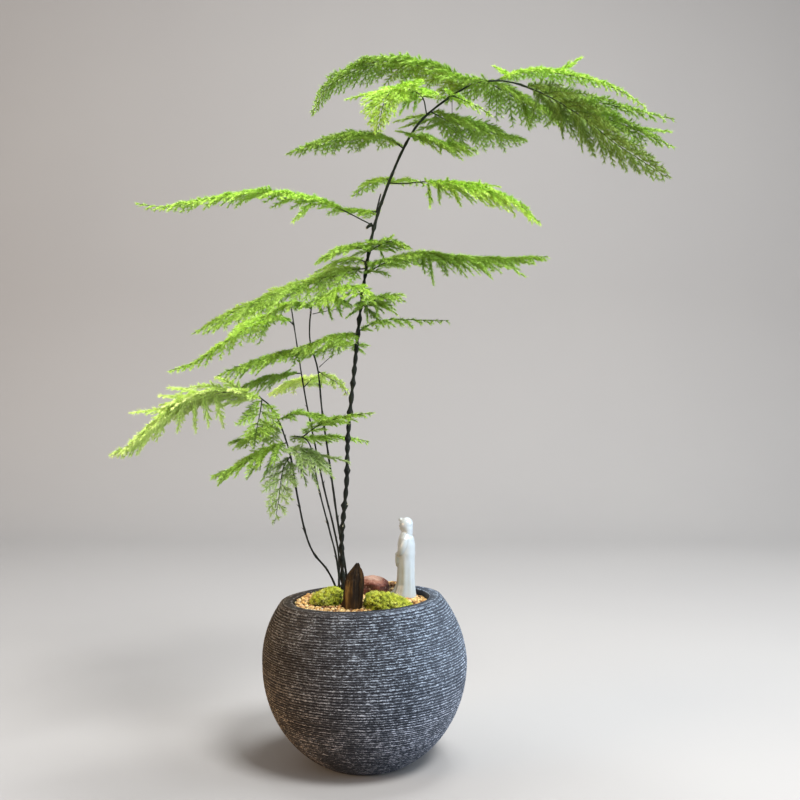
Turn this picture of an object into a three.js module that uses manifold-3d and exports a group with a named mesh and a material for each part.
// A potted lace fern (Asparagus setaceus): a combed ball pot filled with soil and pale gravel, two
// moss cushions, a stub of driftwood, a red stone and a small robed porcelain figure, with five dark
// stems that carry flat, lacy sprays of green needles. Millimetres, +Z up, the pot stands on z = 0
// with its axis on the Z axis, and -Y is the front.
import * as THREE from "three";
import { mergeVertices } from "three/addons/utils/BufferGeometryUtils.js";
import Module from "manifold-3d";

const wasm = await Module();
wasm.setup();
const { Manifold } = wasm;

// The pot.
const potRadius = 70;
const bellyHeight = 67.2;
const lowerHalfHeight = 75; // vertical half axis of the fuller lower half
const rimHeight = 111;
const lipWidth = 8;
const lipRounding = 1.2;
const wallThickness = 8;
const footInset = 2; // the bevel round the foot
const floorInset = 4; // the inside floor is this much smaller in radius than the foot
const grooveCount = 16;
const grooveDepth = 0.9;
const grooveAngles = [-56, 35.5]; // degrees from the belly's middle, down and up
const potSegments = 26;
const rimSlope = [0.038, -0.033]; // the hand-thrown rim rises to the right and to the front
const mouthShift = -2.7; // and sits a little to the left of the foot
const shoulderHeight = 98.5; // inside, where the wall turns up to the mouth
const mouthSlope = 0.14;
const shoulderSlope = 0.9;
const insideHeights = [18, 42, 68, 92, 103]; // where the inside of the wall changes its slope
const fitGap = 0.3; // between pieces that touch
const holeGap = 0.37; // round a stem, across the middles of its flat sides
const leastDetail = 0.04; // smaller steps left by joining pieces are smoothed away
const soilSegments = 20;
const fillGap = 0.9; // between the pot's wall and what fills it

// What fills it.
const soilTop = 98;
const bedTop = 107; // flat bed that the pebbles are sunk into
const mound = { x: 17, y: 37, halfX: 20, halfY: 12, height: 6 }; // heaped up behind the figure
const pebbleCount = 24;
const pebblePlaces = 130; // of a sunflower pattern over the bed, of which some are taken
const pebbleSize = [2.4, 3.9];
const goldenAngle = Math.PI * (3 - Math.sqrt(5));

// What stands on the gravel: centres in plan, half widths and heights.
const mossLeft = { name: "moss_left", x: -26.5, y: -2, halfX: 13, halfY: 12.5, height: 12.5, seed: 11 };
const mossRight = { name: "moss_right", x: 15.5, y: -14, halfX: 17, halfY: 15, height: 12.5, seed: 23 };
const mossTufts = 18;
const tuftSize = [2.9, 4]; // radius at the foot
const tuftLength = 2.1; // of its radius
const tuftInset = 3.1; // from the cushion's outline to a tuft's middle
const coreInset = 1.8; // from the outline to the core under the tufts
const driftwood = { x: -8, y: -18.5, halfX: 6.8, halfY: 4.5, height: 30.5 };
const redStone = { x: 6.5, y: 28, halfX: 13, halfY: 7, height: 12.5 };
const figure = { x: 27.6, y: 17, height: 56.5, facing: 172 }; // degrees, 180 looks to the left

// Stems: the points that each one passes, from inside the soil to its top, and its radii.
const stemDepth = 16; // how deep a stem stands in the gravel and soil
const stems = {
  stem_main: {
    route: [[-16, 17, 112], [-17, 15, 147], [-13, 9, 190], [-12, 6, 220], [-7, 2, 270], [-1, 0, 323],
      [8, 0, 370], [29, -2, 422], [41, -4, 438], [73, -10, 458], [88, -16, 458.5], [104, -23, 454]],
    foot: 1.75, tip: 0.65, steps: 40, twist: 15, lobe: 0.32,
  },
  stem_left: {
    route: [[-20.5, 15.5, 112], [-27, 14, 127], [-36, 11, 139], [-41, 8, 152], [-46, 3, 177],
      [-52, -4, 214], [-62, -12, 241], [-70, -18, 249]],
    foot: 0.95, tip: 0.65, steps: 13, twist: 0, lobe: 0,
  },
  stem_arch: {
    route: [[-18, 10.5, 113], [-20, 9, 135], [-25, 6, 157], [-32, 2, 186], [-38, -3, 217], [-42, -5, 221],
      [-47, -8, 222]],
    foot: 0.85, tip: 0.6, steps: 13, twist: 0, lobe: 0,
  },
  stem_slim: {
    route: [[-19.5, 22, 111], [-19.5, 24, 135], [-23, 26, 154], [-30, 28, 182], [-37, 30, 215],
      [-44, 32, 249], [-54, 34, 312]],
    foot: 0.9, tip: 0.6, steps: 12, twist: 0, lobe: 0,
  },
  stem_mid: {
    route: [[-13, 22.5, 111], [-16, 23, 135], [-20, 24, 158], [-26, 23, 202], [-31, 22, 238], [-34, 20, 268],
      [-39, 18, 287], [-39, 16, 301], [-37, 14, 315]],
    foot: 1.05, tip: 0.65, steps: 14, twist: 0, lobe: 0,
  },
};

// Fronds: the place on its stem that each leaves from, the points that its midrib passes, the reach of
// its side sprays, their spread from the midrib and their roll about it in degrees, how far they hang as
// a share of their reach, the bare share at the foot, and the sprigs: single side sprays with an end of
// their own, each given by its share of the midrib and that end.
const fronds = [
  { name: "frond_crown_right", stem: "stem_main", from: [103, -23, 453],
    route: [[122, -28, 444], [146, -33, 427], [161, -37, 413], [177, -41, 401], [195, -44, 388]],
    reach: 42, spread: 46, roll: -26, hang: 0.12, bare: 0.03,
    sprigs: [[0.12, 110, -20, 428], [0.25, 131, -22, 419], [0.38, 143, -26, 410]] },
  { name: "frond_crown_far", stem: "stem_main", from: [102, -22, 453],
    route: [[128, -14, 446], [158, -12, 436], [183, -16, 425], [204, -22, 413]],
    reach: 30, spread: 34, roll: -14, hang: 0.15, bare: 0.22, sprigs: [[0.72, 205, -18, 424]] },
  { name: "frond_crown_ahead", stem: "stem_main", from: [98, -20, 455],
    route: [[117, -14, 452], [150, -14, 446], [182, -20, 437], [204, -26, 430]],
    reach: 24, spread: 36, roll: -12, hang: 0.2, bare: 0.1 },
  { name: "frond_crown_upper", stem: "stem_main", from: [88, -14, 458],
    route: [[99, -8, 465], [115, -2, 469], [137, 5, 469], [161, 12, 466], [180, 15, 459], [196, 16, 449]],
    reach: 17, spread: 42, roll: -8, hang: 0.25, bare: 0.02,
    sprigs: [[0.12, 87, -6, 471], [0.42, 148, 4, 480]] },
  { name: "frond_crown_under", stem: "stem_main", from: [82, -11, 458],
    route: [[96, 2, 456], [112, 10, 450], [130, 20, 447], [148, 26, 444]],
    reach: 30, spread: 46, roll: -6, hang: 0.4, bare: 0, sprigs: [[0.7, 135, 14, 436]] },
  { name: "frond_crown_left", stem: "stem_main", from: [89, -16, 456],
    route: [[71, -12, 459], [55, -4, 467], [38, 2, 474], [14, 9, 478], [-11, 15, 473], [-28, 18, 462],
      [-38, 20, 445]],
    reach: 36, spread: 44, roll: 16, hang: 0.36, bare: 0.02 },
  { name: "frond_lantern", stem: "stem_main", from: [41, -4, 440],
    route: [[39, -14, 448], [31, -24, 450], [22, -34, 448], [15, -44, 439], [10, -50, 416]],
    reach: 32, spread: 66, roll: 0, hang: 0.25, bare: 0.14,
    sprigs: [[0.42, -11, -30, 442], [0.25, 33, -24, 437]] },
  { name: "frond_shade_right", stem: "stem_main", from: [44, -5, 442],
    route: [[58, 4, 437], [80, 18, 435], [98, 26, 432], [114, 32, 430]],
    reach: 34, spread: 42, roll: -10, hang: 0.3, bare: 0,
    sprigs: [[0.04, 20, 10, 438], [0.12, 24, 14, 435]] },
  { name: "frond_shade_low", stem: "stem_main", from: [31, -4, 426],
    route: [[41, -10, 422], [56, -18, 416], [74, -26, 410]],
    reach: 28, spread: 44, roll: -4, hang: 0.2, bare: 0, sprigs: [[0.2, 22, -12, 426]] },
  { name: "frond_shade_left", stem: "stem_main", from: [27, -2, 417],
    route: [[16, 4, 425], [-11, 14, 429], [-34, 26, 427], [-57, 36, 422]],
    reach: 27, spread: 44, roll: 4, hang: 0.34, bare: 0.03 },
  { name: "frond_crown_small", stem: "stem_main", from: [53, -6, 449],
    route: [[58, -20, 447], [69, -30, 440], [83, -38, 430]],
    reach: 14, spread: 46, roll: -20, hang: 0.2, bare: 0.05 },
  { name: "frond_right_high", stem: "stem_main", from: [18, -1, 393],
    route: [[27, -8, 392], [40, -14, 392], [57, -20, 388], [76, -26, 383], [97, -31, 373],
      [115, -34, 360]],
    reach: 29, spread: 44, roll: -6, hang: 0.36, bare: 0.24,
    sprigs: [[0.27, 44, -22, 374], [0.3, 91, -8, 390]] },
  { name: "frond_high_back", stem: "stem_main", from: [18, -1, 395],
    route: [[12, 10, 399], [1, 22, 397], [-9, 32, 391]],
    reach: 16, spread: 42, roll: 0, hang: 0.25, bare: 0 },
  { name: "frond_high_front", stem: "stem_main", from: [17, -1, 393],
    route: [[24, 10, 398], [32, 16, 399], [44, 22, 397]],
    reach: 12, spread: 42, roll: -6, hang: 0.25, bare: 0 },
  { name: "frond_high_small", stem: "stem_main", from: [7, 0, 375],
    route: [[-2, 10, 380], [-12, 16, 383], [-24, 20, 386]],
    reach: 11, spread: 44, roll: 0, hang: 0.2, bare: 0.1 },
  { name: "frond_left_high", stem: "stem_main", from: [6, 0, 365],
    route: [[-23, -8, 378], [-43, -12, 382], [-64, -16, 384], [-85, -19, 382], [-108, -21, 377],
      [-134, -23, 373], [-150, -24, 376]],
    reach: 21, spread: 38, roll: 4, hang: 0.26, bare: 0.15, sprigs: [[0.27, -47, -20, 365]] },
  { name: "frond_nest_right", stem: "stem_main", from: [4, 0, 347],
    route: [[12, -12, 352], [20, -18, 353], [33, -24, 348]],
    reach: 20, spread: 44, roll: -12, hang: 0.25, bare: 0, sprigs: [[0.5, 19, -16, 358]] },
  { name: "frond_nest_left", stem: "stem_main", from: [4, 0, 347],
    route: [[-6, -14, 349], [-17, -26, 345], [-30, -36, 337]],
    reach: 24, spread: 44, roll: 6, hang: 0.25, bare: 0 },
  { name: "frond_nest_back", stem: "stem_main", from: [2, 0, 340],
    route: [[-7, 10, 344], [-21, 22, 342], [-37, 30, 337]],
    reach: 20, spread: 42, roll: 4, hang: 0.3, bare: 0 },
  { name: "frond_nest_mid", stem: "stem_main", from: [1, 0, 332],
    route: [[12, -8, 338], [24, -14, 342], [38, -18, 344]],
    reach: 22, spread: 46, roll: -4, hang: 0.3, bare: 0 },
  { name: "frond_nest_low", stem: "stem_main", from: [-1, 0, 319],
    route: [[-8, -18, 322], [-18, -28, 319], [-29, -36, 310]],
    reach: 27, spread: 52, roll: 8, hang: 0.6, bare: 0 },
  { name: "frond_right_mid", stem: "stem_main", from: [1, 0, 338],
    route: [[21, 6, 344], [38, 14, 348], [63, 22, 347], [95, 32, 348], [132, 38, 350]],
    reach: 28, spread: 40, roll: 8, hang: 0.35, bare: 0.1,
    sprigs: [[0.34, 47, 8, 326], [0.55, 88, 16, 331], [0.72, 112, 24, 333]] },
  { name: "frond_left_long", stem: "stem_main", from: [0, 0, 336],
    route: [[-13, -10, 333], [-32, -18, 326], [-52, -24, 319], [-77, -30, 308], [-96, -33, 298],
      [-110, -35, 290]],
    reach: 35, spread: 40, roll: -18, hang: 0.3, bare: 0.02 },
  { name: "frond_right_small", stem: "stem_main", from: [-5, 0, 310],
    route: [[5, -10, 313], [16, -16, 316], [26, -22, 317]],
    reach: 24, spread: 50, roll: -8, hang: 0.45, bare: 0, sprigs: [[0.4, 9, -14, 303]] },
  { name: "frond_right_needle", stem: "stem_main", from: [-6, 1, 293],
    route: [[5, 8, 299], [17, 14, 302], [38, 18, 302], [59, 22, 302]],
    reach: 16, spread: 46, roll: 0, hang: 0.5, bare: 0 },
  { name: "frond_left_low", stem: "stem_main", from: [-6, 1, 292],
    route: [[-16, -10, 290], [-30, -20, 286], [-47, -28, 279]],
    reach: 26, spread: 46, roll: 0, hang: 0.4, bare: 0 },
  { name: "frond_left_under", stem: "stem_main", from: [-7, 1, 284],
    route: [[-16, 10, 286], [-29, 18, 282], [-45, 24, 276]],
    reach: 20, spread: 44, roll: 0, hang: 0.35, bare: 0, sprigs: [[0.04, 2, 10, 284]] },
  { name: "frond_mid_crown", stem: "stem_mid", from: [-37, 14, 313],
    route: [[-30, 8, 317], [-20, 2, 317], [-9, -4, 311]],
    reach: 22, spread: 50, roll: 0, hang: 0.5, bare: 0 },
  { name: "frond_mid_left", stem: "stem_mid", from: [-37, 15, 310],
    route: [[-45, 6, 313], [-55, -2, 310], [-69, -8, 302]],
    reach: 22, spread: 46, roll: -6, hang: 0.35, bare: 0 },
  { name: "frond_mid_top", stem: "stem_slim", from: [-53, 34, 299],
    route: [[-58, 26, 304], [-69, 18, 303], [-81, 6, 296], [-97, -5, 284], [-113, -13, 272],
      [-130, -18, 266]],
    reach: 27, spread: 44, roll: -8, hang: 0.36, bare: 0.04 },
  { name: "frond_mid_low", stem: "stem_mid", from: [-35, 22, 281],
    route: [[-45, 8, 280], [-63, -12, 276], [-82, -22, 269], [-97, -28, 262]],
    reach: 30, spread: 44, roll: 8, hang: 0.38, bare: 0 },
  { name: "frond_mid_right", stem: "stem_mid", from: [-33, 23, 267],
    route: [[-26, 30, 261], [-18, 34, 256], [-14, 38, 249]],
    reach: 16, spread: 44, roll: 0, hang: 0.2, bare: 0.02 },
  { name: "frond_slim_top", stem: "stem_slim", from: [-54, 34, 312],
    route: [[-66, 44, 315], [-86, 50, 311], [-107, 52, 302], [-121, 54, 294]],
    reach: 22, spread: 44, roll: 0, hang: 0.35, bare: 0.05 },
  { name: "frond_slim_left", stem: "stem_slim", from: [-47, 32, 265],
    route: [[-58, 22, 264], [-72, 12, 261], [-89, 4, 253]],
    reach: 26, spread: 44, roll: 8, hang: 0.45, bare: 0.06 },
  { name: "frond_slim_low", stem: "stem_slim", from: [-45, 32, 254],
    route: [[-41, 46, 261], [-53, 60, 259], [-75, 74, 250]],
    reach: 26, spread: 44, roll: 0, hang: 0.4, bare: 0.04 },
  { name: "frond_low_left", stem: "stem_left", from: [-69, -18, 246],
    route: [[-75, -24, 249], [-83, -28, 252], [-98, -32, 250], [-114, -36, 244], [-135, -41, 229],
      [-150, -44, 215], [-163, -45, 211]],
    reach: 42, spread: 38, roll: 18, hang: 0.26, bare: 0.02,
    sprigs: [[0.36, -102, -24, 230], [0.5, -122, -26, 226], [0.55, -148, -44, 239]] },
  { name: "frond_low_front", stem: "stem_left", from: [-69, -16, 246],
    route: [[-68, -24, 240], [-69, -32, 231], [-70, -38, 220]],
    reach: 30, spread: 62, roll: 0, hang: 0.1, bare: 0 },
  { name: "frond_cascade_left", stem: "stem_left", from: [-60, -8, 232],
    route: [[-68, 0, 226], [-78, 8, 221], [-95, 14, 217]],
    reach: 30, spread: 46, roll: 10, hang: 0.3, bare: 0 },
  { name: "frond_left_right", stem: "stem_left", from: [-59, -8, 233],
    route: [[-48, -4, 237], [-33, 2, 236], [-15, 8, 231]],
    reach: 22, spread: 44, roll: 0, hang: 0.35, bare: 0 },
  { name: "frond_cascade_mid", stem: "stem_left", from: [-54, -4, 218],
    route: [[-62, -14, 214], [-70, -22, 210], [-82, -27, 203], [-101, -28, 196]],
    reach: 38, spread: 42, roll: 10, hang: 0.35, bare: 0 },
  { name: "frond_cascade_low", stem: "stem_left", from: [-52, -3, 208],
    route: [[-53, -12, 202], [-54, -22, 192], [-56, -28, 179], [-60, -32, 166]],
    reach: 30, spread: 44, roll: 6, hang: 0, bare: 0 },
  { name: "frond_cascade_right", stem: "stem_left", from: [-52, -2, 211],
    route: [[-45, -10, 216], [-34, -17, 213], [-22, -22, 208]],
    reach: 26, spread: 44, roll: 0, hang: 0.4, bare: 0, sprigs: [[0.5, -10, -14, 205]] },
  { name: "frond_arch_right", stem: "stem_arch", from: [-41, -5, 223],
    route: [[-28, -18, 231], [-12, -28, 236], [7, -36, 239]],
    reach: 20, spread: 40, roll: -8, hang: 0.25, bare: 0.06 },
  { name: "frond_arch_back", stem: "stem_arch", from: [-50, -8, 224],
    route: [[-40, 10, 220], [-19, 24, 220], [2, 32, 216]],
    reach: 21, spread: 40, roll: 0, hang: 0.3, bare: 0.06 },
];
const sprayStep = 16; // along the midrib, left and right in turn
const leastSprays = 4;
const sprayFoot = 1.3; // how much of the midrib's length a side spray stands on
const whorlStep = 11; // between the whorls of five needles along a side spray
const firstWhorl = 4.8; // from the midrib
const lastWhorl = 2.6; // from the spray's tip
const needleLength = [5, 7.2];
const wideAngle = 72; // the outer pair of a whorl
const narrowAngle = 34; // the forward pair
const needleFoot = 1; // how much of the rib's length a whorl stands on
const ribRadius = [0.75, 0.45]; // of a midrib at its foot and tip
const sprayRadius = [0.62, 0.48];
const leastReach = 5.5;
const bends = [0, 14, -14, 28, -28]; // degrees a spray may be turned to keep clear of its neighbours
const shares = [1, 0.7, 0.45]; // or shortened to
const clearance = 0.25; // between sprays that pass each other
const facing = new THREE.Vector3(0.3, 1, 0.2).normalize(); // the way that the sprigs' flat side faces

const colours = {
  pot: [0x3f444d, 0.85], soil: [0x2c2119, 0.95], gravel: [0xd8b98a, 0.75], moss: [0x7d9a2c, 0.95],
  driftwood: [0x4a2f1c, 0.85], stone: [0x8a4a38, 0.6], porcelain: [0xeeeae2, 0.2], stem: [0x18241a, 0.6],
  frond: [0x58a51f, 0.65],
};

// A seeded draw between 0 and 1.
function seeded(seed) {
  let state = seed >>> 0;
  return () => {
    state = (state + 0x6d2b79f5) >>> 0;
    let t = Math.imul(state ^ (state >>> 15), 1 | state);
    t = (t + Math.imul(t ^ (t >>> 7), 61 | t)) ^ t;
    return ((t ^ (t >>> 14)) >>> 0) / 4294967296;
  };
}

const between = (range, share) => range[0] + (range[1] - range[0]) * share;
const point = (p) => new THREE.Vector3(...p);
const radians = THREE.MathUtils.degToRad;

// A closed geometry as a solid.
function solidOf(geometry) {
  const bare = geometry.clone();
  bare.deleteAttribute("normal");
  bare.deleteAttribute("uv");
  const merged = mergeVertices(bare, 1e-4);
  return new Manifold(new wasm.Mesh({
    numProp: 3,
    vertProperties: merged.attributes.position.array,
    triVerts: new Uint32Array(merged.index.array),
  }));
}

// The largest body of a solid, as a geometry.
function geometryOf(solid) {
  const bodies = solid.simplify(leastDetail).decompose();
  const largest = bodies.reduce((a, b) => (a.volume() > b.volume() ? a : b));
  const mesh = largest.getMesh();
  const geometry = new THREE.BufferGeometry();
  geometry.setAttribute("position", new THREE.BufferAttribute(mesh.vertProperties, 3));
  geometry.setIndex(new THREE.BufferAttribute(mesh.triVerts, 1));
  geometry.computeVertexNormals();
  return geometry;
}

// Faces over a list of points.
function skin(vertices, faces) {
  const geometry = new THREE.BufferGeometry();
  const places = vertices.flatMap((v) => [v.x, v.y, v.z]);
  geometry.setAttribute("position", new THREE.Float32BufferAttribute(places, 3));
  geometry.setIndex(faces);
  return geometry;
}

// A closed skin through rings of as many points each, listed anticlockwise seen from the last ring.
function loft(rings) {
  const sides = rings[0].length;
  const last = (rings.length - 1) * sides;
  const faces = [];
  for (let k = 0; k < last; k += sides) {
    for (let i = 0; i < sides; i += 1) {
      const j = (i + 1) % sides;
      faces.push(k + i, k + j, k + sides + j, k + i, k + sides + j, k + sides + i);
    }
  }
  for (let i = 1; i + 1 < sides; i += 1) faces.push(0, i + 1, i, last, last + i, last + i + 1);
  return skin(rings.flat(), faces);
}

// A tube along a curve whose radius changes with the share of the length and the angle round it.
function sweep(curve, steps, sides, radiusAt) {
  const frames = curve.computeFrenetFrames(steps, false);
  const rings = [];
  for (let k = 0; k <= steps; k += 1) {
    const share = k / steps;
    const centre = curve.getPointAt(share);
    const ring = [];
    for (let i = 0; i < sides; i += 1) {
      const angle = (i / sides) * 2 * Math.PI;
      const radius = radiusAt(share, angle);
      ring.push(centre.clone()
        .addScaledVector(frames.normals[k], Math.cos(angle) * radius)
        .addScaledVector(frames.binormals[k], Math.sin(angle) * radius));
    }
    rings.push(ring);
  }
  return loft(rings);
}

function named(name, solid, finish) {
  const [color, roughness] = colours[finish];
  const material = new THREE.MeshStandardMaterial({ color, roughness, metalness: 0 });
  const mesh = new THREE.Mesh(geometryOf(solid), material);
  mesh.name = name;
  return mesh;
}

// Outer radius of the pot at a height, without its grooves.
function potRadiusAt(height) {
  const rise = height - bellyHeight;
  const halfHeight = rise > 0 ? potRadius : lowerHalfHeight;
  return potRadius * Math.sqrt(Math.max(0, 1 - (rise / halfHeight) ** 2));
}

// How far the mouth's shift moves the pot and its filling at a height.
const leanAt = (z) => (mouthShift * Math.max(0, z - bellyHeight)) / (rimHeight - bellyHeight);

// How much the sloping rim lifts the pot at a place.
const rimLift = (x, y, z) => (rimSlope[0] * x + rimSlope[1] * y) * (z / rimHeight) ** 2;

// A solid turned from a profile of [radius, height] points, from the axis at the bottom to the axis.
function turned(profile, segments, lift = () => 0) {
  const geometry = new THREE.LatheGeometry(profile.map(([r, z]) => new THREE.Vector2(r, z)), segments);
  geometry.rotateX(Math.PI / 2);
  const position = geometry.attributes.position;
  for (let i = 0; i < position.count; i += 1) {
    const [x, y, z] = [position.getX(i), position.getY(i), position.getZ(i)];
    position.setXYZ(i, x + leanAt(z), y, z + lift(x, y, z));
  }
  const solid = solidOf(geometry);
  return solid.volume() > 0 ? solid : turned(profile.slice().reverse(), segments, lift);
}

// Inner radius of the pot at a height: the wall follows the outside up to the shoulder, and then rises
// steeply to the mouth.
const lipRadius = potRadiusAt(rimHeight);
const mouthRadius = lipRadius - lipWidth;
const innerRadiusAt = (height) => Math.min(potRadiusAt(height) - wallThickness,
  mouthRadius + (rimHeight - height) * mouthSlope + Math.max(0, shoulderHeight - height) * shoulderSlope);

function pot() {
  // Even steps of the angle seen from the belly's middle, so that the grooves are equally wide.
  const outside = [];
  for (let k = 0; k <= 2 * grooveCount; k += 1) {
    const angle = radians(between(grooveAngles, k / (2 * grooveCount)));
    const height = bellyHeight + Math.sin(angle) * (angle > 0 ? potRadius : lowerHalfHeight);
    outside.push([potRadiusAt(height) - (k % 2 ? grooveDepth : 0), height]);
  }
  const footRadius = potRadiusAt(0);
  const inside = insideHeights.slice().reverse().map((height) => [innerRadiusAt(height), height]);
  const lip = [[lipRadius - lipRounding, rimHeight], [mouthRadius + lipRounding, rimHeight],
    [mouthRadius, rimHeight - lipRounding]];
  const profile = [[0, 0], [footRadius - footInset, 0], [footRadius, footInset / 2], ...outside, ...lip,
    ...inside, [footRadius - floorInset, wallThickness], [0, wallThickness]];
  return turned(profile, potSegments, rimLift);
}

function soil() {
  const low = wallThickness + fillGap;
  const side = insideHeights.map((height) => [innerRadiusAt(height) - fillGap, height]);
  const above = new THREE.BoxGeometry(4 * potRadius, 4 * potRadius, 20).translate(0, 0, soilTop + 10);
  const floorRadius = potRadiusAt(0) - floorInset - fillGap;
  const profile = [[0, low], [floorRadius, low], ...side, [0, side[side.length - 1][1]]];
  return turned(profile, soilSegments, rimLift).subtract(solidOf(above));
}

// True where a pebble would sit in the foot of something that stands on the gravel.
function taken(x, y) {
  const inEllipse = (item, spare) => ((x - item.x) / (item.halfX + spare)) ** 2
    + ((y - item.y) / (item.halfY + spare)) ** 2 < 1;
  const figureFoot = { x: figure.x - 2, y: figure.y, halfX: 11, halfY: 9 };
  return inEllipse(mossLeft, 1.6) || inEllipse(mossRight, 1.6) || inEllipse(driftwood, 3)
    || inEllipse(redStone, 2.2) || inEllipse(figureFoot, 2.4) || Math.hypot(x + 17, y - 17) < 8.5;
}

// How high the gravel lies at a place.
function bedHeight(x, y) {
  const away = ((x - mound.x) / mound.halfX) ** 2 + ((y - mound.y) / mound.halfY) ** 2;
  return bedTop + mound.height * Math.sqrt(Math.max(0, 1 - away));
}

function gravel() {
  const draw = seeded(5);
  const edge = mouthRadius - fitGap;
  const low = soilTop + fitGap;
  const middle = leanAt(bedTop);
  const bed = turned([[0, low], [edge, low], [edge, bedTop], [0, bedTop]], potSegments);
  const heap = new THREE.SphereGeometry(1, 12, 6).rotateX(Math.PI / 2);
  heap.scale(mound.halfX, mound.halfY, mound.height).translate(mound.x, mound.y, bedTop);
  const above = bedTop + mound.height;
  const inMouth = turned([[0, low], [edge, low], [edge, above], [0, above]], potSegments);
  const pebbles = [];
  for (let k = 0; pebbles.length < pebbleCount && k < pebblePlaces; k += 1) {
    const size = between(pebbleSize, draw());
    const ring = Math.sqrt((k + 0.5) / pebblePlaces) * edge;
    const x = middle + Math.cos(k * goldenAngle) * ring;
    const y = Math.sin(k * goldenAngle) * ring;
    if (ring + size > edge || taken(x, y)) continue;
    const pebble = new THREE.OctahedronGeometry(size, 0);
    pebble.scale(1.15, 0.85 + 0.3 * draw(), 0.75);
    pebble.rotateZ(draw() * Math.PI);
    pebble.rotateX(0.5 * draw() - 0.25);
    pebble.translate(x, y, bedHeight(x, y) + 0.2 * size * draw());
    pebbles.push(solidOf(pebble));
  }
  return Manifold.union([bed, solidOf(heap).intersect(inMouth), ...pebbles]).subtract(stone(2 * fitGap));
}

// A moss cushion: a low dome whose tufts stand out of it on all sides.
function moss(cushion) {
  const draw = seeded(cushion.seed);
  const low = bedTop + fitGap;
  const core = new THREE.SphereGeometry(1, 12, 8).rotateX(Math.PI / 2);
  core.scale(cushion.halfX - coreInset, cushion.halfY - coreInset, cushion.height - coreInset);
  core.translate(cushion.x, cushion.y, low);
  const tufts = [];
  for (let k = 0; k < mossTufts; k += 1) {
    const lift = 1 - (k + 0.3) / mossTufts;
    const out = Math.sqrt(1 - lift * lift);
    const angle = k * goldenAngle;
    const size = between(tuftSize, draw());
    const direction = new THREE.Vector3(Math.cos(angle) * out, Math.sin(angle) * out, lift);
    const tuft = new THREE.ConeGeometry(size, size * tuftLength, 5);
    tuft.applyQuaternion(new THREE.Quaternion().setFromUnitVectors(new THREE.Vector3(0, 1, 0), direction));
    tuft.translate(
      cushion.x + direction.x * (cushion.halfX - tuftInset),
      cushion.y + direction.y * (cushion.halfY - tuftInset),
      low + direction.z * (cushion.height - tuftInset),
    );
    tufts.push(solidOf(tuft));
  }
  const flat = solidOf(new THREE.BoxGeometry(60, 60, 30).translate(cushion.x, cushion.y, low - 15));
  return Manifold.union([solidOf(core), ...tufts]).subtract(flat);
}

// A weathered stub of wood with deep grain, broken off to a point on its right.
function wood(grow = 0) {
  const sides = 14;
  // Share of the height, share of the width, and how far the middle has moved.
  const levels = [[0, 0.97, 0, 0], [0.3, 1, 0.7, 0], [0.62, 0.95, 1.1, 0.4], [0.82, 0.7, 2, 0.8],
    [0.94, 0.4, 2.9, 1], [1, 0.16, 3.4, 1.1]];
  const rings = levels.map(([share, width, shiftX, shiftY], k) => {
    const ring = [];
    for (let i = 0; i < sides; i += 1) {
      const angle = (i / sides) * 2 * Math.PI;
      const grain = 1 + 0.13 * Math.cos(5 * angle + 0.5 * k) + 0.07 * Math.sin(3 * angle + k);
      const ragged = 0.8 * Math.sin(2 * angle) * share;
      ring.push(new THREE.Vector3(
        driftwood.x + shiftX + Math.cos(angle) * (driftwood.halfX * width * grain + grow),
        driftwood.y + shiftY + Math.sin(angle) * (driftwood.halfY * width * grain + grow),
        bedTop + fitGap - grow + (driftwood.height + 2 * grow) * share + ragged,
      ));
    }
    return ring;
  });
  return solidOf(loft(rings));
}

// A flat-topped stone that tapers to the right, or the hollow that it lies in when it is grown by a gap.
function stone(grow = 0) {
  const low = bedTop + fitGap - grow;
  const lump = new THREE.IcosahedronGeometry(1, 1);
  const position = lump.attributes.position;
  for (let i = 0; i < position.count; i += 1) {
    const [x, y, z] = [position.getX(i), position.getY(i), position.getZ(i)];
    const dent = 1 + 0.1 * Math.sin(3.1 * x + 2 * z) + 0.08 * Math.cos(4 * y - 2.2 * x);
    position.setXYZ(i, x * dent, y * dent, z * dent);
  }
  lump.scale(redStone.halfX + grow, redStone.halfY + grow, redStone.height * 0.6 + grow);
  lump.rotateY(radians(8));
  lump.translate(redStone.x, redStone.y, low + redStone.height * 0.4);
  const flat = solidOf(new THREE.BoxGeometry(60, 60, 30).translate(redStone.x, redStone.y, low - 15));
  return solidOf(lump).subtract(flat);
}

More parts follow.
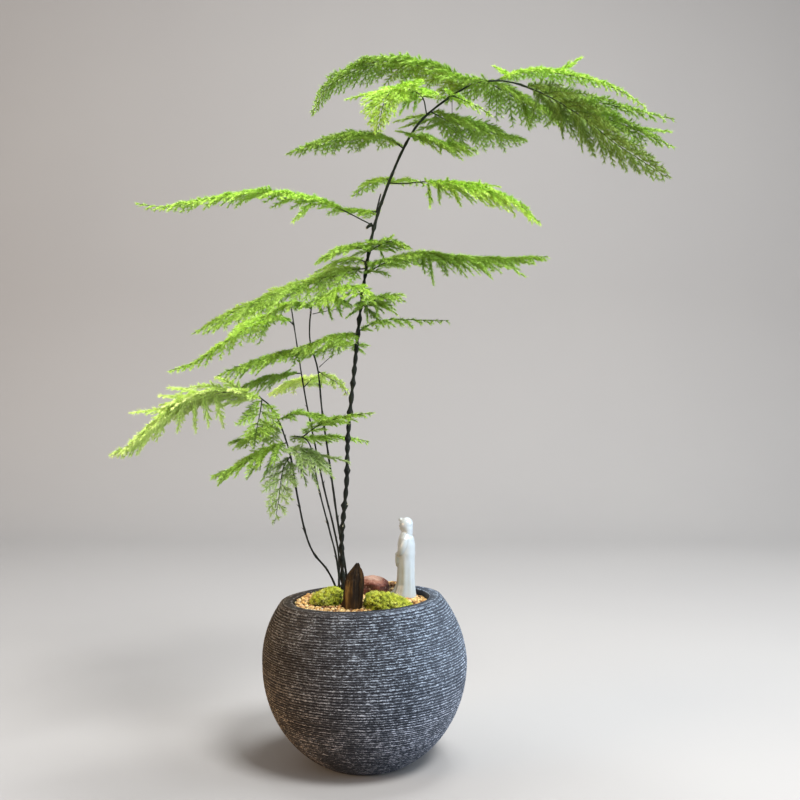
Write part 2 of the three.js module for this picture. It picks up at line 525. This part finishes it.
// A robed standing figure, hands joined in long sleeves, in a soft cap whose flap covers the neck.
// It is shaped looking along +X and then turned to its facing.
function figurine() {
  const tall = figure.height;
  const sides = 12;
  const oval = (share, halfX, halfY, shift, folds = 0) => {
    const ring = [];
    for (let i = 0; i < sides; i += 1) {
      const angle = (i / sides) * 2 * Math.PI;
      const fold = 1 + folds * Math.cos(6 * angle);
      ring.push(new THREE.Vector3(
        shift + Math.cos(angle) * halfX * fold, Math.sin(angle) * halfY * fold, share * tall));
    }
    return ring;
  };
  const robe = loft([
    oval(0, 8.8, 7.4, 0.7, 0.04), oval(0.05, 8.1, 6.9, 0.3, 0.05), oval(0.13, 6.8, 6, -0.4, 0.05),
    oval(0.3, 6, 5.7, -0.7, 0.04), oval(0.5, 6.2, 6.3, -0.8), oval(0.66, 6.1, 6.8, -0.8),
    oval(0.75, 5.2, 6.5, -0.9), oval(0.81, 3.4, 4.1, -0.6), oval(0.85, 2.3, 2.4, -0.2),
  ]);
  const ball = (radius, scale, place, detail = [10, 6]) => solidOf(new THREE.SphereGeometry(radius, ...detail)
    .rotateX(Math.PI / 2).scale(...scale).translate(...place));
  const head = ball(4, [0.97, 0.92, 1.1], [0.1, 0, tall * 0.886]);
  const cap = ball(4.8, [0.97, 0.98, 1.02], [-0.8, 0, tall * 0.913]);
  const flap = solidOf(loft([
    oval(0.815, 3.2, 4.4, -2.4), oval(0.86, 3.4, 4.5, -2.1), oval(0.94, 2.7, 3.8, -1.6),
  ]));
  const knot = ball(1.5, [1, 1.1, 1.05], [3.2, 0, tall * 0.968], [7, 5]);
  const nose = solidOf(new THREE.ConeGeometry(0.75, 2, 4).rotateX(Math.PI / 2)
    .translate(3.9, 0, tall * 0.885));
  const arm = (side) => solidOf(sweep(new THREE.CatmullRomCurve3([
    point([-0.9, side * 5.4, tall * 0.74]), point([1.2, side * 6.1, tall * 0.63]),
    point([4, side * 3.4, tall * 0.535]), point([5.3, side * 0.4, tall * 0.52]),
  ]), 3, 7, (share) => 2 + 1.1 * share));
  const sleeve = solidOf(loft([
    [[4.4, -2.2], [5.9, -1.9], [5.9, 1.9], [4.4, 2.2]].map(([x, y]) => point([x, y, tall * 0.42])),
    [[2.4, -4.5], [6.9, -2.6], [6.9, 2.6], [2.4, 4.5]].map(([x, y]) => point([x, y, tall * 0.51])),
    [[2.4, -4.1], [6.7, -2.2], [6.7, 2.2], [2.4, 4.1]].map(([x, y]) => point([x, y, tall * 0.57])),
  ]));
  const hem = solidOf(loft([[[2, -5], [10.9, -2.4], [10.9, 2.4], [2, 5]].map(([x, y]) => point([x, y, 0])),
    [[2, -4], [6.6, -1.6], [6.6, 1.6], [2, 4]].map(([x, y]) => point([x, y, tall * 0.09]))]));
  const whole = Manifold.union([solidOf(robe), head, cap, flap, knot, nose, arm(1), arm(-1), sleeve, hem]);
  return whole.rotate([0, 0, figure.facing]).translate([figure.x, figure.y, bedTop + fitGap]);
}

// Stems.
function stemCurve(stem, grow = 0) {
  const [x, y] = stem.route[0];
  const foot = point([x + 0.3, y, bedTop - stemDepth - grow]);
  return new THREE.CatmullRomCurve3([foot, ...stem.route.map(point)], false, "centripetal");
}

// A stem, or the plain hole that it stands in when it is grown by a gap.
function stemSolid(stem, grow = 0) {
  const curve = stemCurve(stem, grow);
  const twistEnd = 0.68; // the two strands of the old stem are wound round each other up to here
  const sides = stem.lobe ? 6 : 5;
  const radiusAt = (share, angle) => {
    const radius = between([stem.foot, stem.tip], share);
    const lobe = stem.lobe * THREE.MathUtils.clamp((twistEnd - share) * 12, 0, 1);
    return radius * (1 + lobe * Math.cos(2 * (angle - stem.twist * 2 * Math.PI * share))) + grow;
  };
  return solidOf(sweep(curve, stem.steps, sides, radiusAt));
}

// How far the side sprays reach at a share of the leafy midrib: widest near the foot, narrow at the tip.
const envelope = (share) => Math.min(1, (share + 0.06) / 0.24) ** 0.7 * (1 - share) ** 0.8;

// The frame of a three-sided rib at a place: its corners lie anticlockwise round the way that it grows.
function ribFrame(centre, along, across) {
  return { centre, along, across, over: new THREE.Vector3().crossVectors(along, across).normalize() };
}

// The three corners of a rib, with one at the top, or at the bottom when it is turned over.
const ribCorners = (frame, radius, turnedOver = false) => [90, 210, 330].map((turn) => {
  const angle = radians(turnedOver ? turn + 180 : turn);
  return frame.centre.clone().addScaledVector(frame.across, Math.cos(angle) * radius)
    .addScaledVector(frame.over, Math.sin(angle) * radius);
});

const middleOf = (points) => points.reduce((sum, v) => sum.add(v), new THREE.Vector3())
  .divideScalar(points.length);

// Joins two rings of three corners, after turning the second one until it lies best over the first.
function join(vertices, faces, low, high) {
  const [lowMiddle, highMiddle] = [low, high].map((ring) => middleOf(ring.map((v) => vertices[v])));
  const twist = (turn) => low.reduce((sum, v, k) => sum + vertices[v].clone().sub(lowMiddle)
    .distanceToSquared(vertices[high[(k + turn) % 3]].clone().sub(highMiddle)), 0);
  const turn = [0, 1, 2].reduce((a, b) => (twist(b) < twist(a) ? b : a));
  [0, 1, 2].forEach((k) => {
    const [a, b] = [low[k], low[(k + 1) % 3]];
    const [c, d] = [high[(k + turn) % 3], high[(k + 1 + turn) % 3]];
    faces.push(a, b, d, a, d, c);
  });
}

// The bent line of a side spray: from its root on the midrib, out to its hand's side.
function sprayLine(root, frame, reach, frond, hand) {
  const angle = radians(frond.spread);
  const out = frame.along.clone().multiplyScalar(Math.cos(angle))
    .addScaledVector(frame.across, hand * Math.sin(angle));
  const middle = root.clone().addScaledVector(out, reach * 0.5).addScaledVector(frame.over, reach * 0.04);
  const end = root.clone().addScaledVector(out, reach * 0.92).addScaledVector(frame.along, reach * 0.13);
  end.z -= frond.hang * reach;
  return { curve: new THREE.QuadraticBezierCurve3(root, middle, end), up: frame.over };
}

// The line of a sprig to its own end, turned about the midrib and shortened as far as asked.
function sprigLine(root, frame, end, bend, size) {
  const way = end.clone().sub(root).applyAxisAngle(frame.along, radians(bend)).multiplyScalar(size);
  const middle = root.clone().addScaledVector(way, 0.5).add(new THREE.Vector3(0, 0, 0.04 * way.length()));
  return { curve: new THREE.QuadraticBezierCurve3(root, middle, root.clone().add(way)), up: facing };
}

// A side spray that grows out of a triangle along a line: a thin three-sided rib that ends in a point,
// with whorls of five needles drawn out of its faces. Its first three points are the triangle's.
function spray(base, { curve, up }, draw) {
  const reach = curve.getLength();
  const turnedOver = draw() < 0.5; // so the single needle of each whorl points up instead of down
  const vertices = [...base];
  const faces = [];
  const ringAt = (share) => {
    const along = curve.getTangentAt(share);
    const across = new THREE.Vector3().crossVectors(up, along).normalize();
    const frame = ribFrame(curve.getPointAt(share), along, across);
    vertices.push(...ribCorners(frame, between(sprayRadius, share), turnedOver));
    return { frame, corners: [3, 2, 1].map((back) => vertices.length - back) };
  };
  // Draws a needle out of the corners that it stands on, at an angle to the rib.
  const needle = (corners, frame, turn, sideways, lean, length) => {
    const slope = radians(turn + 12 * draw() - 6);
    const direction = frame.along.clone().multiplyScalar(Math.cos(slope))
      .addScaledVector(frame.across, sideways * Math.sin(slope))
      .addScaledVector(frame.over, lean * Math.sin(slope)).normalize();
    const foot = middleOf(corners.map((v) => vertices[v]));
    vertices.push(foot.addScaledVector(direction, length * between(needleLength, draw())));
    corners.forEach((v, k) => faces.push(v, corners[(k + 1) % corners.length], vertices.length - 1));
  };
  const room = reach - firstWhorl - lastWhorl;
  const whorls = Math.max(1, Math.round(room / whorlStep) + 1);
  let last = [0, 1, 2];
  for (let k = 0; k < whorls; k += 1) {
    const share = (whorls > 1 ? firstWhorl + (room * k) / (whorls - 1) : reach * 0.6) / reach;
    const { frame, corners: low } = ringAt(share - needleFoot / reach / 2);
    const { corners: high } = ringAt(share + needleFoot / reach / 2);
    const size = 1 - 0.25 * share;
    join(vertices, faces, last, low);
    low.forEach((a, i) => {
      const b = low[(i + 1) % 3];
      const [c, d] = [high[(i + 1) % 3], high[i]];
      if (i === 1) {
        needle([a, b, c, d], frame, 42, 0, turnedOver ? 1 : -1, size * 0.75);
        return;
      }
      const sideways = (i - 1) * (turnedOver ? -1 : 1);
      const lean = 0.24 * Math.sign(vertices[b].clone().sub(vertices[a]).dot(frame.over));
      needle([a, b, c], frame, wideAngle, sideways, lean, size * 0.92);
      needle([a, c, d], frame, narrowAngle, sideways, -lean, size);
    });
    last = high;
  }
  vertices.push(curve.v2);
  last.forEach((v, k) => faces.push(v, last[(k + 1) % 3], vertices.length - 1));
  return { vertices, faces, solid: solidOf(skin(vertices, [...faces, 0, 2, 1])) };
}

// True when two solids keep the clearance.
function apart(a, b) {
  const [boxA, boxB] = [a.boundingBox(), b.boundingBox()];
  const far = [0, 1, 2].some((k) => (
    Math.max(boxA.min[k], boxB.min[k]) > Math.min(boxA.max[k], boxB.max[k]) + clearance));
  return far || a.minGap(b, 2 * clearance) > clearance;
}

// The point of a curve nearest to a place.
const nearest = (curve, place) => curve.getSpacedPoints(600).reduce((a, b) => (
  a.distanceToSquared(place) < b.distanceToSquared(place) ? a : b));

// Where along a midrib its side sprays grow, left and right in turn. The one nearest to a sprig, on the
// sprig's side, takes the sprig's end.
function sprayPlaces(frond, length, first, frameAt) {
  const count = Math.max(leastSprays, Math.round((length * (1 - frond.bare)) / sprayStep));
  const places = Array.from({ length: count }, (_, k) => {
    const share = (k + 0.4) / count;
    const along = Math.max(first, frond.bare + (1 - frond.bare) * share * 0.985);
    return { share, along, hand: k % 2 ? 1 : -1, end: null };
  });
  (frond.sprigs ?? []).forEach(([share, ...end]) => {
    const away = ({ along, hand }) => {
      const { centre, across } = frameAt(along);
      const wrongSide = point(end).sub(centre).dot(across) * hand < 0;
      return Math.abs(along - share) + (wrongSide ? 1 : 0);
    };
    const free = places.filter((place) => !place.end);
    const own = free.reduce((a, b) => (away(b) < away(a) ? b : a));
    own.end = point(end);
  });
  return places;
}

// A frond in one skin: a three-sided midrib that starts a fit gap away from its stem, with side sprays
// drawn out of its left and right faces in turn. A spray that would meet what is built already is
// turned about the midrib, then shortened, and left out if it still doesn't fit.
function frondSolid(frond, carrier, inTheWay, draw) {
  const start = nearest(stemCurve(stems[frond.stem]), point(frond.from));
  const curve = new THREE.CatmullRomCurve3([start, ...frond.route.map(point)], false, "centripetal");
  const length = curve.getLength();
  const frameAt = (share, bend = 0) => {
    const along = curve.getTangentAt(share);
    const level = new THREE.Vector3().crossVectors(new THREE.Vector3(0, 0, 1), along).normalize();
    return ribFrame(curve.getPointAt(share), along, level.applyAxisAngle(along, radians(frond.roll + bend)));
  };
  const cornersAt = (share) => ribCorners(frameAt(share), between(ribRadius, share));
  let [low, high] = [0, 9 / length];
  for (let k = 0; k < 12; k += 1) {
    const middle = (low + high) / 2;
    const stub = solidOf(loft([cornersAt(middle), cornersAt(middle + 4 / length)]));
    if (carrier.minGap(stub, 2) < fitGap) low = middle;
    else high = middle;
  }
  const vertices = cornersAt(high);
  const faces = [0, 2, 1];
  const built = [];
  let last = [0, 1, 2];
  sprayPlaces(frond, length, high + 2.5 / length, frameAt).forEach(({ share, along, hand, end }) => {
    const rings = [-0.5, 0.5].map((end) => cornersAt(along + (end * sprayFoot) / length));
    vertices.push(...rings.flat());
    const [rear, front] = [6, 3].map((back) => [0, 1, 2].map((i) => vertices.length - back + i));
    join(vertices, faces, last, rear);
    const reach = frond.reach * envelope(share) * (0.9 + 0.2 * draw());
    const sprayFace = hand < 0 ? 0 : 2;
    let foot;
    [0, 1, 2].forEach((i) => {
      const j = (i + 1) % 3;
      const [a, b, c, d] = [rear[i], rear[j], front[j], front[i]];
      if (i !== sprayFace) {
        faces.push(a, b, c, a, c, d);
      } else if (hand < 0) {
        foot = [a, b, c];
        faces.push(a, c, d);
      } else {
        foot = [a, b, d];
        faces.push(b, c, d);
      }
    });
    const base = foot.map((v) => vertices[v]);
    const tries = shares.flatMap((size) => bends.map((bend) => (
      { bend, size, reach: Math.max(leastReach, reach * size) })));
    let made = null;
    tries.forEach((tried) => {
      const root = middleOf(base);
      const line = end ? sprigLine(root, frameAt(along), end, tried.bend, tried.size)
        : sprayLine(root, frameAt(along, tried.bend), tried.reach, frond, hand);
      const grown = spray(base, line, draw);
      if (!made && [...inTheWay, ...built].every((other) => apart(grown.solid, other))) made = grown;
    });
    if (made) {
      built.push(made.solid);
      const offset = vertices.length - 3;
      vertices.push(...made.vertices.slice(3));
      faces.push(...made.faces.map((v) => (v < 3 ? foot[v] : v + offset)));
    } else {
      faces.push(...foot);
    }
    last = front;
  });
  vertices.push(curve.getPointAt(1));
  last.forEach((v, k) => faces.push(v, last[(k + 1) % 3], vertices.length - 1));
  return solidOf(skin(vertices, faces));
}

const plant = new THREE.Group();
const stemNames = Object.keys(stems);
const stemSolids = stemNames.map((name) => stemSolid(stems[name]));
const stemHoles = stemNames.map((name) => stemSolid(stems[name], holeGap));
const cutByStems = (solid) => solid.subtract(Manifold.union(stemHoles));

plant.add(named("pot", pot(), "pot"));
plant.add(named("soil", cutByStems(soil()), "soil"));
plant.add(named("gravel", cutByStems(gravel()), "gravel"));
[mossLeft, mossRight].forEach((cushion) => {
  plant.add(named(cushion.name, cutByStems(moss(cushion)).subtract(wood(2 * fitGap)), "moss"));
});
plant.add(named("driftwood", wood(), "driftwood"));
plant.add(named("red_stone", stone(), "stone"));
plant.add(named("figurine", figurine(), "porcelain"));
stemNames.forEach((name, k) => plant.add(named(name, stemSolids[k], "stem")));

const grown = [];
fronds.forEach((frond, k) => {
  const carrier = stemSolids[stemNames.indexOf(frond.stem)];
  const whole = frondSolid(frond, carrier, [...stemSolids, ...grown], seeded(100 + k));
  plant.add(named(frond.name, whole, "frond"));
  grown.push(whole);
});

export default plant;
